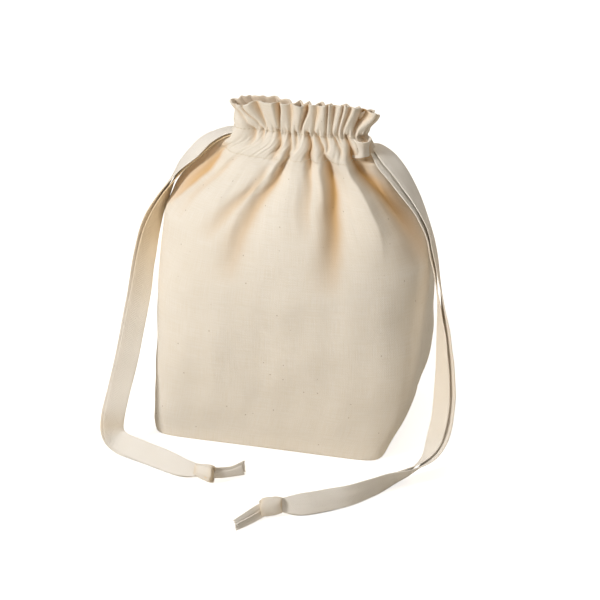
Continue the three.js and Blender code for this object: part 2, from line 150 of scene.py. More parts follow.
class Build:
    """Collects grids of points into one mesh, each point with its painted warm shade."""

    def __init__(self):
        self.points = []
        self.faces = []
        self.uvs = []
        self.shades = []
        self.count = 0

    def grid(self, grid, u, v, shade=0.0, around=False, caps=False):
        """grid is rows x columns x 3. u and v are in metres, with one more column than
        the grid where it goes all the way round."""
        rows, columns = grid.shape[:2]
        base = self.count
        self.points.append(grid.reshape(-1, 3))
        self.shades.append(np.broadcast_to(shade, (rows, columns)).reshape(-1))
        self.count += rows * columns
        last = columns if around else columns - 1
        u = np.broadcast_to(u, (rows, last + 1))
        v = np.broadcast_to(v, (rows, last + 1))
        for j in range(rows - 1):
            for i in range(last):
                k = (i + 1) % columns
                a, b = base + j * columns, base + (j + 1) * columns
                self.faces.append((a + i, a + k, b + k, b + i))
                self.uvs += [
                    (u[j, i], v[j, i]),
                    (u[j, i + 1], v[j, i + 1]),
                    (u[j + 1, i + 1], v[j + 1, i + 1]),
                    (u[j + 1, i], v[j + 1, i]),
                ]
        if caps:
            for row, turn in ((0, True), (rows - 1, False)):
                loop = [base + row * columns + i for i in range(columns)]
                where = [(u[row, i], v[row, i]) for i in range(columns)]
                if turn:
                    loop.reverse()
                    where.reverse()
                self.faces.append(tuple(loop))
                self.uvs += where

    def fan(self, ring_start, columns, hub, ring_uv, shade, turn):
        """Closes a ring of points with triangles round one point, the hub."""
        at = self.count
        self.points.append(np.array([hub], float))
        self.shades.append(np.array([shade], float))
        self.count += 1
        for i in range(columns):
            k = (i + 1) % columns
            a, b = ring_start + i, ring_start + k
            self.faces.append((at, b, a) if turn else (at, a, b))
            corners = [(0, 0), ring_uv[i], ring_uv[k]]
            self.uvs += [corners[0], corners[2], corners[1]] if turn else corners

    def piece(self, name, material):
        return new_mesh(
            name,
            np.vstack(self.points),
            self.faces,
            self.uvs,
            np.concatenate(self.shades),
            material,
        )


# Surface colours
CANVAS_PALE = (0.885, 0.84, 0.775)
CANVAS_DEEP = (0.855, 0.80, 0.72)
CANVAS_SLUB = (0.79, 0.71, 0.58)
# The colour of the painted shade in the gaps between the canvas's threads
CANVAS_GAP_SHADE = (0.68, 0.56, 0.40)
CANVAS_FUZZ = (0.92, 0.88, 0.80)
# The colour of the painted warm shade in the canvas's folds and creases
CANVAS_PAINTED_SHADE = (0.70, 0.43, 0.17)
CANVAS_FLECK = (0.30, 0.20, 0.10)
TWILL_PALE = (0.96, 0.935, 0.90)
# The colour of the painted shade in the grooves between the tape's ribs
TWILL_GAP_SHADE = (0.80, 0.71, 0.58)
TWILL_MOTTLE = (0.90, 0.85, 0.77)
TWILL_FUZZ = (0.97, 0.95, 0.92)
# The colour of the painted warm shade on the tapes and knots
TWILL_PAINTED_SHADE = (0.97, 0.76, 0.48)
TWILL_FLECK = (0.34, 0.24, 0.14)
# The colour of the painted shade in the grooves between the thread's plies
THREAD_GROOVE_SHADE = (0.70, 0.61, 0.47)
THREAD_PALE = (0.86, 0.80, 0.69)
# Spacings, in metres along the cloth
CANVAS_THREAD = 0.00062
TWILL_ZIG = 0.00375
TWILL_RIB = 0.00125
TWILL_CROSS = 0.0009
THREAD_PLY = 0.0005


class Nodes:
    """Short names for making nodes and joining them."""

    def __init__(self, name):
        self.material = bpy.data.materials.new(name)
        self.material.use_nodes = True
        self.tree = self.material.node_tree
        self.shader = self.tree.nodes["Principled BSDF"]

    def add(self, kind, **values):
        node = self.tree.nodes.new(kind)
        for key, value in values.items():
            setattr(node, key, value)
        return node

    def join(self, out, into):
        if isinstance(out, (int, float, tuple)):
            into.default_value = out
        else:
            self.tree.links.new(out, into)

    def math(self, operation, a, b=None):
        node = self.add("ShaderNodeMath", operation=operation)
        self.join(a, node.inputs[0])
        if b is not None:
            self.join(b, node.inputs[1])
        return node.outputs[0]

    def noise(self, where, scale, detail=2.0, rough=0.5):
        node = self.add("ShaderNodeTexNoise")
        self.join(where, node.inputs["Vector"])
        node.inputs["Scale"].default_value = scale
        node.inputs["Detail"].default_value = detail
        node.inputs["Roughness"].default_value = rough
        return node.outputs["Fac"]

    def stretch(self, where, scale):
        node = self.add("ShaderNodeMapping")
        self.join(where, node.inputs["Vector"])
        node.inputs["Scale"].default_value = scale
        return node.outputs[0]

    def ramp(self, value, low, high, start=0.0, end=1.0):
        node = self.add("ShaderNodeMapRange", clamp=True)
        self.join(value, node.inputs["Value"])
        node.inputs["From Min"].default_value = low
        node.inputs["From Max"].default_value = high
        node.inputs["To Min"].default_value = start
        node.inputs["To Max"].default_value = end
        return node.outputs[0]

    def mix(self, share, a, b):
        node = self.add("ShaderNodeMix", data_type="RGBA")
        self.join(share, node.inputs[0])
        for value, socket in ((a, node.inputs[6]), (b, node.inputs[7])):
            self.join((*value, 1.0) if isinstance(value, tuple) else value, socket)
        return node.outputs[2]

    def bumps(self, height, strength, distance, under=None):
        node = self.add("ShaderNodeBump")
        node.inputs["Strength"].default_value = strength
        node.inputs["Distance"].default_value = distance
        self.join(height, node.inputs["Height"])
        if under is not None:
            self.join(under, node.inputs["Normal"])
        return node.outputs[0]

    def cloth(self):
        """The place on the cloth in metres, and its parts across and along."""
        uv = self.add("ShaderNodeUVMap", uv_map="cloth").outputs[0]
        split = self.add("ShaderNodeSeparateXYZ")
        self.join(uv, split.inputs[0])
        return uv, split.outputs[0], split.outputs[1]

    def with_painted_shade(self, plain, most, colour):
        """Painted warm shade: warmer by the number that is held at each vertex."""
        painted_shade = self.add("ShaderNodeAttribute", attribute_name="painted_shade").outputs["Fac"]
        return self.mix(self.ramp(painted_shade, 0.0, 1.0, 0.0, most), plain, colour)

    def cotton(self, colour, fuzz, rough, sheen):
        """The dull, slightly fuzzy finish of cotton."""
        self.join(colour, self.shader.inputs["Base Color"])
        self.join(self.ramp(fuzz, 0.3, 0.7, *rough), self.shader.inputs["Roughness"])
        self.shader.inputs["Specular IOR Level"].default_value = 0.2
        self.shader.inputs["Sheen Weight"].default_value = sheen
        self.shader.inputs["Sheen Roughness"].default_value = 0.5


def specks(n, where, scale, size, share):
    """1 in small flecks, few and far between."""
    cells = n.add("ShaderNodeTexVoronoi", feature="F1")
    n.join(where, cells.inputs["Vector"])
    cells.inputs["Scale"].default_value = scale
    near = n.ramp(cells.outputs["Distance"], size, size * 0.5)
    split = n.add("ShaderNodeSeparateColor")
    n.join(cells.outputs["Color"], split.inputs[0])
    chosen = n.math("GREATER_THAN", split.outputs[0], 1 - share)
    return n.math("MULTIPLY", near, chosen)


def canvas():
    """Unbleached plain-weave cotton canvas with seed flecks, with painted warm shade in creases.
    """
    n = Nodes("unbleached_canvas")
    uv, across, along = n.cloth()
    place = n.add("ShaderNodeTexCoord").outputs["Object"]
    wander = n.math("MULTIPLY", n.math("SUBTRACT", n.noise(uv, 260), 0.5), 0.0007)
    warp = n.math("MULTIPLY", n.math("ADD", across, wander), math.pi / CANVAS_THREAD)
    weft = n.math("MULTIPLY", n.math("ADD", along, wander), math.pi / CANVAS_THREAD)
    weave = n.math("MULTIPLY", n.math("SINE", warp), n.math("SINE", weft))
    slub_across = n.noise(n.stretch(uv, (60, 1500, 1)), 1.0, 2.0)
    slub_along = n.noise(n.stretch(uv, (1500, 60, 1)), 1.0, 2.0)
    slubs = n.math("ADD", slub_across, slub_along)
    fuzz = n.noise(uv, 1800, 3.0, 0.7)
    rough = n.math("ADD", slubs, n.math("MULTIPLY", fuzz, 0.7))
    height = n.math("ADD", n.math("MULTIPLY", weave, 0.5), rough)
    crumple = n.noise(place, 38, 4.0, 0.55)
    soft = n.bumps(crumple, 0.35, 0.0022)
    n.join(n.bumps(height, 0.42, 0.00028, soft), n.shader.inputs["Normal"])
    plain = n.mix(n.ramp(n.noise(place, 14, 3.0), 0.35, 0.68), CANVAS_PALE, CANVAS_DEEP)
    plain = n.mix(n.ramp(slubs, 0.75, 1.3, 0.0, 0.5), plain, CANVAS_SLUB)
    # Painted shade in the gaps between the threads, where the weave lies low
    plain = n.mix(n.ramp(weave, -0.2, -1.0, 0.0, 0.16), plain, CANVAS_GAP_SHADE)
    plain = n.mix(n.ramp(fuzz, 0.52, 0.8, 0.0, 0.3), plain, CANVAS_FUZZ)
    # Painted warm shade, as much as the vertex attribute says
    painted_warm_shade = n.with_painted_shade(plain, 0.95, CANVAS_PAINTED_SHADE)
    fleck = n.math("MULTIPLY", specks(n, uv, 210, 0.13, 0.16), 0.55)
    n.cotton(n.mix(fleck, painted_warm_shade, CANVAS_FLECK), fuzz, (0.86, 0.97), 0.18)
    n.shader.inputs["Sheen Tint"].default_value = (1.0, 0.96, 0.88, 1)
    return n.material


def twill():
    """Cotton tape in a herringbone twill, with painted warm shade where the vertex attribute
    says.
    """
    n = Nodes("cotton_twill_tape")
    uv, across, along = n.cloth()
    zig = n.math("PINGPONG", n.math("ADD", across, 1.0), TWILL_ZIG)
    wander = n.math("MULTIPLY", n.noise(uv, 500), 0.0006)
    slope = n.math("ADD", n.math("ADD", along, n.math("MULTIPLY", zig, 1.1)), wander)
    rib = n.math("SINE", n.math("MULTIPLY", slope, 2 * math.pi / TWILL_RIB))
    cross = n.math("SINE", n.math("MULTIPLY", across, 2 * math.pi / TWILL_CROSS))
    fuzz = n.noise(uv, 2300, 3.0, 0.7)
    rough = n.math("ADD", n.math("MULTIPLY", cross, 0.18), n.math("MULTIPLY", fuzz, 0.6))
    height = n.math("ADD", n.math("MULTIPLY", rib, 0.55), rough)
    soft = n.bumps(n.noise(uv, 90, 2.0), 0.3, 0.0009)
    n.join(n.bumps(height, 0.6, 0.00035, soft), n.shader.inputs["Normal"])
    # Painted shade in the grooves between the ribs
    plain = n.mix(n.ramp(rib, 0.0, -1.0, 0.0, 0.6), TWILL_PALE, TWILL_GAP_SHADE)
    plain = n.mix(n.ramp(n.noise(uv, 70, 2.0), 0.4, 0.7, 0.0, 0.4), plain, TWILL_MOTTLE)
    plain = n.mix(n.ramp(fuzz, 0.52, 0.8, 0.0, 0.3), plain, TWILL_FUZZ)
    # Painted warm shade, as much as the vertex attribute says
    painted_warm_shade = n.with_painted_shade(plain, 0.9, TWILL_PAINTED_SHADE)
    fleck = n.math("MULTIPLY", specks(n, uv, 260, 0.1, 0.1), 0.5)
    n.cotton(n.mix(fleck, painted_warm_shade, TWILL_FLECK), fuzz, (0.84, 0.96), 0.2)
    return n.material


def sewing():
    """Spun cotton sewing thread."""
    n = Nodes("sewing_thread")
    _, across, along = n.cloth()
    lay = n.math("ADD", across, along)
    ply = n.math("SINE", n.math("MULTIPLY", lay, 2 * math.pi / THREAD_PLY))
    n.join(n.bumps(ply, 0.4, 0.0001), n.shader.inputs["Normal"])
    # Painted shade in the grooves between the plies, paler on their crests
    colour = n.mix(n.ramp(ply, -1, 1), THREAD_GROOVE_SHADE, THREAD_PALE)
    n.join(colour, n.shader.inputs["Base Color"])
    n.shader.inputs["Roughness"].default_value = 0.8
    return n.material


CANVAS = canvas()
TAPE = twill()
THREAD = sewing()

# The drawstrings: the routes of the solids, in millimetres
TAPE_WIDTH = 15
TAPE_THICKNESS = 0.9
# x, y, z, then the direction across the tape, then the share of the full width there
LEFT_ROUTE = [
    (-17.7, 0, 218, 0.1, -1, 0, 0.56),
    (-26, -1, 219.3, 0.35, -0.93, 0.1, 0.8),
    (-37, -1, 219, 0.44, -0.89, 0.1, 1),
    (-49, -2, 213.5, 0.57, -0.82, 0.05, 1),
    (-60, -3, 203.5, 0.61, -0.79, 0, 1),
    (-70, -5, 192, 0.46, -0.86, 0.21, 1),
    (-77, -8, 180, 0.23, -0.87, 0.44, 1),
    (-82.3, -12, 169, -0.06, -0.85, 0.52, 1),
    (-87, -17, 157, -0.34, -0.78, 0.52, 1),
    (-90, -22, 144, -0.59, -0.67, 0.45, 1),
    (-92, -29, 127, -0.72, -0.57, 0.4, 1),
    (-93.5, -37, 107, -0.85, -0.47, 0.24, 1),
    (-96, -47, 85, -0.94, -0.34, 0.11, 1),
    (-99, -57, 61, -0.95, -0.27, 0.13, 1),
    (-103, -66, 39, -0.97, -0.15, 0.17, 1),
    (-104.8, -73, 24, -0.85, -0.25, 0.5, 1),
    (-103.8, -77.5, 14, -0.7, -0.6, -0.2, 1),
    (-98, -80, 8.6, -0.5, -0.5, -0.67, 1),
    (-83, -86, 7.6, -0.35, -0.5, -0.79, 1),
    (-62, -94, 7.4, -0.27, -0.5, -0.82, 1),
    (-47, -99.5, 7, -0.15, -0.6, -0.75, 0.85),
    (-35.6, -101.4, 7, 0, -0.5, -0.85, 0.6),
]
RIGHT_ROUTE = [
    (61.6, 4.8, 217, -0.1, 1, 0, 0.5),
    (67.5, 4, 215.5, 0.15, 0.98, 0.1, 0.8),
    (76, 1.5, 209, 0.3, 0.93, 0.22, 1),
    (85, -1, 199.5, 0.3, 0.93, 0.2, 1),
    (94, -4, 187.5, 0.17, 0.98, 0, 1),
    (102, -7, 174.5, 0.05, 0.96, -0.2, 1),
    (108.5, -11, 160, 0, 0.94, -0.33, 1),
    (113, -16, 145, -0.02, 0.94, -0.34, 1),
    (117.8, -23, 127, -0.16, 0.92, -0.34, 1),
    (123, -31, 105, -0.45, 0.84, -0.3, 1),
    (127, -39, 80, -0.7, 0.66, -0.26, 1),
    (129.2, -48, 57, -0.82, 0.5, -0.24, 1),
    (128.6, -56, 39, -0.84, 0.46, -0.28, 1),
    (123.6, -62, 22, -0.7, 0.56, -0.44, 1),
    (112.5, -69, 10, -0.28, 0.7, -0.65, 1),
    (99, -82, 8, 0.05, 0.5, -0.86, 1),
    (87, -96, 8.1, 0.12, 0.12, -0.98, 1),
    (75, -108, 7.9, 0.15, -0.2, -0.96, 1),
    (60, -118, 7.7, 0.18, -0.42, -0.89, 1),
    (46, -126, 7.6, 0.16, -0.5, -0.85, 1),
    (31, -130.8, 7.3, 0.1, -0.45, -0.89, 0.6),
]
# How far the second strand lies off the first, and how far it is slid across near the
# pouch and lower down
LEFT_PAIR = (2.3, 1, 1.6)
RIGHT_PAIR = (-2.3, -4, 3)
# Places across the tape and how thick it is there, for one face
ACROSS = np.array([-1, -0.985, -0.93, -0.72, -0.36, 0, 0.36, 0.72, 0.93, 0.985, 1])
THICK = np.array([0.15, 0.72, 1, 1, 1, 1, 1, 1, 1, 0.72, 0.15])
LOWEST = 0.05  # of any point of a tape, so that none goes under the floor
STRAND_STEPS = 9  # to each stretch of a route
STRAND_WAVE = 0.16


def ribbon(
    build, middle, across, widths, cup, shade, thickness=TAPE_THICKNESS, start=0.0, wave=0.0
):
    """A flat woven tape swept along points. cup is how far its middle stands out, shade is
    its painted warm shade, start is where its weave begins, and wave is how much its edges
    flutter."""
    along = unit(np.gradient(middle, axis=0))
    across = across - along * np.sum(across * along, axis=1, keepdims=True)
    across = unit(across)
    face = np.cross(along, across)
    steps = np.linalg.norm(np.diff(middle, axis=0), axis=1)
    run = np.concatenate([[0], np.cumsum(steps)]) + start
    rows = []
    for side in (1, -1):
        u = ACROSS[::side]
        thick = THICK * thickness / 2 * side
        arch = cup[:, None] * (1 - u[None, :] ** 2)
        flutter = wave * np.sin(run / 6.1)[:, None] * u[None, :] ** 3
        flutter = flutter + 0.6 * wave * np.sin(run / 3.7 + 1)[:, None] * (u[None, :] - 0.4) ** 2
        out = arch + thick[None, :] + flutter
        rows.append(
            middle[:, None, :]
            + across[:, None, :] * (u[None, :, None] * widths[:, None, None] / 2)
            + face[:, None, :] * out[:, :, None]
        )
    grid = np.concatenate(rows, axis=1)
    grid[:, :, 2] = np.maximum(grid[:, :, 2], LOWEST)
    both = np.concatenate([ACROSS, ACROSS[::-1], ACROSS[:1]])
    u = both[None, :] * TAPE_WIDTH / 2 * MM + 0.05
    v = np.broadcast_to((run * MM)[:, None], (len(run), len(both)))
    build.grid(grid, u, v, np.reshape(shade, (-1, 1)), around=True, caps=True)
    return grid


def strand(name, route, shade, pair=(0, 0, 0), start=0.0, cup=0.35):
    """One hanging strand of a drawstring, with the points at its middle."""
    fine = spline(route, STRAND_STEPS)
    middle, across, share = fine[:, :3], fine[:, 3:6], np.clip(fine[:, 6], 0.4, 1)
    along = unit(np.gradient(middle, axis=0))
    across = unit(across - along * np.sum(across * along, axis=1, keepdims=True))
    face = np.cross(along, across)
    place = np.arange(len(fine)) / STRAND_STEPS
    free = np.minimum(1, np.minimum(place / 2, (len(route) - 1 - place) / 3))[:, None]
    slide = pair[1] + (pair[2] - pair[1]) * smooth((place - 3) / 6)
    middle = middle + face * pair[0] + across * slide[:, None] * free
    arch = cup * np.minimum(1, 3 * free[:, 0]) * (1 if pair[0] >= 0 else -1)
    arch = arch + 1.6 * (1 - share)
    painted_shade = np.interp(place, *shade)
    build = Build()
    ribbon(
        build, middle, across, share * TAPE_WIDTH, arch, painted_shade, start=start, wave=STRAND_WAVE
    )
    return build.piece(name, TAPE), middle * MM


# Painted warm shade along each strand, standing in for warm light reflected from the cloth behind
# it: place along the strand, and how much
LEFT_SHADE = ([0, 6, 9, 10.5, 12, 14.5, 15.5, 16.5], [1, 1, 0.8, 0.45, 0.16, 0.1, 0.35, 0])
LEFT_BACK_SHADE = (
    [0, 1, 5, 7, 9, 12, 14.5, 15.5, 16.5],
    [0.4, 0, 0.05, 0.6, 0.5, 0.1, 0.1, 0.35, 0],
)
RIGHT_SHADE = ([0, 2, 4.5, 7, 11, 13, 15], [0.5, 0, 0, 0.35, 0.3, 0.1, 0])
left_front, left_front_path = strand("left_front_tape", LEFT_ROUTE, LEFT_SHADE)
left_back, left_back_path = strand(
    "left_back_tape", LEFT_ROUTE, LEFT_BACK_SHADE, LEFT_PAIR, start=170
)
right_front, right_front_path = strand("right_front_tape", RIGHT_ROUTE, RIGHT_SHADE)
right_back, right_back_path = strand(
    "right_back_tape", RIGHT_ROUTE, RIGHT_SHADE, RIGHT_PAIR, start=230
)


KNOT_LENGTH = 16
KNOT_HALF_HEIGHT = 6.9
KNOT_HALF_THICK = 5.2
KNOT_SQUARENESS = 2.5
KNOT_BULGE = 2.6
KNOT_TURNS = 1.16
KNOT_RADIUS = 6.2
BAND_DEPTH = 0.13
# The strands seen at the knot's ends: place along it, and size
CORE = ((-0.47, 0.25), (-0.44, 0.62), (-0.3, 0.78), (0.2, 0.78), (0.4, 0.66), (0.44, 0.3))
TAIL_LEAN = 0.6
TAIL_THICKNESS = 1.3
LOOSE_THREADS = 14


def knot(name, at, heading, tails, tilt, lap, ends):
    """An overhand knot pulled tight: a band of tape wrapped round the two strands, and
    two short tails with cut ends. tilt is how skew the band lies, lap is where it starts,
    and ends has its size at the strands and at the tails."""
    at = np.array(at, float)
    axis = np.array([math.cos(heading), math.sin(heading), 0])
    side = np.array([-math.sin(heading), math.cos(heading), 0])
    front = -np.sign(side[1]) * side
    up = np.array([0, 0, 1.0])
    build = Build()

    def around(angle, s, grown):
        c, w = np.cos(angle), np.sin(angle)
        power = KNOT_SQUARENESS
        reach = (np.abs(c) ** power + np.abs(w) ** power) ** (-1 / power)
        along = np.clip(s / KNOT_LENGTH + 0.5, 0, 1)
        grown = grown * (ends[0] + (ends[1] - ends[0]) * along)
        v = KNOT_HALF_THICK * c * reach * grown
        h = KNOT_HALF_HEIGHT * w * reach * grown
        bulge = KNOT_BULGE * along[..., None] * front
        return at + s[..., None] * axis + v[..., None] * side + h[..., None] * up + bulge

    # The wrapped band: it starts under itself and ends on top.
    turns = np.linspace(0, 2 * math.pi * KNOT_TURNS, 92)
    s = np.linspace(-1, 1, 15)
    angle = turns[:, None] + lap + 0 * s[None, :]
    share = turns[:, None] / turns[-1]
    width = KNOT_LENGTH * (0.90 - 0.10 * np.abs(share - 0.5))
    skew = tilt * (share - 0.5) * 5
    run = s[None, :] * width / 2 + skew + 0.5 * np.sin(3 * angle)
    squeeze = 1 - 0.15 * np.abs(s[None, :]) ** 3.5
    crease = 0.018 * np.sin(s[None, :] * 9 + 2 * angle)
    crease = crease + 0.02 * np.sin(5 * angle + 4 * s[None, :])
    grown = (0.83 + 0.15 * smooth(share * 1.1)) * squeeze + crease * 0.6
    outer = around(angle, run, grown)
    inner = around(angle, run, grown - BAND_DEPTH)
    band = np.concatenate([outer, inner[:, ::-1]], axis=1)
    both = np.concatenate([s, s[::-1], s[:1]])
    # The band gets painted warm shade, more towards its edges and on its inner face.
    build.grid(
        band[::-1],
        both[None, :] * TAPE_WIDTH / 2 * MM,
        turns[::-1, None] * KNOT_RADIUS * MM,
        0.12 + 0.35 * np.concatenate([np.abs(s), np.ones_like(s)])[None, :] ** 4,
        around=True,
        caps=True,
    )
    # What is inside it: the crossing strands, seen at both ends.
    angle = np.linspace(0, 2 * math.pi, 49)[:-1]
    rows = []
    for place, size in CORE:
        wobble = size * (1 + 0.1 * np.sin(4 * angle + place * 6))
        rows.append(around(angle, np.full(48, place * KNOT_LENGTH), wobble))
    turn = np.linspace(0, 1, 49)[None, :]
    down = np.arange(len(CORE))[:, None]
    # The strands inside the knot get strong painted warm shade.
    build.grid(np.array(rows), turn * 0.04, down * 0.003, 0.75, True, True)
    # The tails
    for k, (points, wide) in enumerate(tails):
        fine = spline(points, 8)
        count = len(fine)
        share_along = np.linspace(0, 1, count)
        across = np.tile(up - TAIL_LEAN * front, (count, 1))
        across = across + 0.2 * (1 if k else -1) * side * share_along[:, None]
        widths = np.interp(share_along, [0, 0.3, 0.65, 1], [5.5, 5, 4.8, wide])
        fold = np.interp(share_along, [0, 0.5, 1], [0.8, 0.5, 0.25]) * (1 if k else -1)
        # Painted warm shade on the tails, most at the knot and none at the cut end
        shade = 0.2 * (1 - share_along)
        grid = ribbon(build, fine, across, widths, fold, shade, TAIL_THICKNESS, 40 * k)
        # Threads that have worked loose at the cut end
        end = grid[-1][: len(ACROSS)]
        out = unit(fine[-1] - fine[-2])
        for i in range(LOOSE_THREADS):
            root = end[0] + (end[-1] - end[0]) * ((i + 0.5) / LOOSE_THREADS)
            tip = root + out * (0.9 + 0.8 * abs(math.sin(3.1 * i + k)))
            tip = tip + 0.35 * math.sin(5.3 * i) * up
            mid = (root + tip) / 2 + 0.15 * math.cos(2.3 * i) * side
            line = spline([root - out * 0.6, mid, tip], 3)
            ring = np.linspace(0, 2 * math.pi, 6)[:-1]
            thick = np.interp(np.linspace(0, 1, len(line)), [0, 1], [0.2, 0.09])
            tube = np.array(
                [
                    p + r * (np.cos(ring)[:, None] * side + np.sin(ring)[:, None] * up)
                    for p, r in zip(line, thick)
                ]
            )
            tube[:, :, 2] = np.maximum(tube[:, :, 2], 0.1)
            # Each loose thread gets a little painted warm shade.
            build.grid(
                tube,
                np.linspace(0, 0.001, 6)[None, :],
                np.linspace(0, 0.002, len(line))[:, None],
                0.1,
                True,
                True,
            )
    return build.piece(name, TAPE)


left_knot = knot(
    "left_overhand_knot",
    (-29.6, -102, 7.3),
    -0.1,
    [
        ([(-26, -101.3, 8), (-20, -99.6, 7.7), (-12, -94.5, 7), (-5, -88, 6.6)], 8.6),
        ([(-26, -102.6, 6.2), (-19, -101, 5.8), (-12, -96.6, 5.2), (-5.6, -90.4, 5)], 7),
    ],
    0.16,
    2.1,
    (0.68, 1.12),
)
right_knot = knot(
    "right_overhand_knot",
    (25.6, -132.4, 7.3),
    math.pi + 0.27,
    [
        ([(23, -133, 8.2), (17.5, -139, 7.4), (12, -147, 6), (7, -154, 4.8)], 4.2),
        ([(23, -136, 4.6), (18.5, -142.5, 3.6), (13.5, -149.5, 3.1), (8.5, -156.4, 2.9)], 4.4),
    ],
    -0.2,
    1.2,
    (0.94, 1.04),
)

for piece, node in (
    (left_front, "left_front_strand"),
    (left_back, "left_back_strand"),
    (right_front, "right_front_strand"),
    (right_back, "right_back_strand"),
    (left_knot, "left_knot"),
    (right_knot, "right_knot"),
):
    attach(piece, "root")
    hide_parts(node)

# The pouch: the shape of the solid, in millimetres, with finer pleats and folds
PLY = 0.8
DOUBLE_PLY = 1.5
RIM_HEIGHT = 248
SEAM_UPPER = 227
SEAM_LOWER = 210
GIRTH = 530  # the cloth before it is gathered
# height, left reach, right reach, half depth, squareness
OUTLINES = [
    (0, -84.6, 84.4, 51.6, 12),
    (10, -86.6, 89, 52.2, 9.5),
    (24, -86.2, 95.8, 52.8, 7.8),
    (42, -86, 102, 53.5, 6),
    (62, -86, 105, 55, 5),
    (88, -86.5, 106.5, 56, 4),
    (115, -87, 107.4, 56, 3.2),
    (136, -85.5, 108, 54, 2.8),
    (150, -84, 106.5, 51.5, 2.6),
    (160, -83, 103.5, 48.5, 2.6),
    (170, -80, 98.5, 44.5, 2.5),
    (180, -76, 91.5, 39, 2.4),
    (188, -70, 85.5, 34, 2.4),
    (196, -62, 78.5, 28, 2.3),
    (203, -55, 71.5, 23, 2.3),
    (207, -50.5, 69.5, 20.5, 2.3),
    (210, -46, 68, 18.8, 2.3),
    (214, -38.5, 66.3, 17, 2.3),
    (218.5, -29.5, 65, 15.3, 2.3),
    (223, -25, 63.3, 13.8, 2.4),
    (227, -23.2, 61.5, 12.4, 2.4),
    (231, -24.2, 62, 12.2, 2.4),
    (238, -28.5, 65, 12.9, 2.4),
    (244, -32.6, 68, 13.6, 2.4),
    (248, -35, 69.6, 14, 2.4),
]
CASING_INSIDE = (-14.6, 55.6, 6.1, 2.4)
CHANNEL_MIDDLE = (-17.2, 58.2, 8.7, 2.4)
BASE_INSIDE = (-80.9, 80.9, 48.4, 12)
COLUMNS = 460  # of points round the pouch
# The places of the slits, by share of the way round, and how wide they are
LEFT_SLIT = (0.012, 0.036)
RIGHT_SLIT = (0.474, 0.03)
# A fold this deep gets the strongest painted warm shade, and shallower ones less by this power
PAINTED_SHADE_DEPTH = 9.5
PAINTED_SHADE_POWER = 0.85
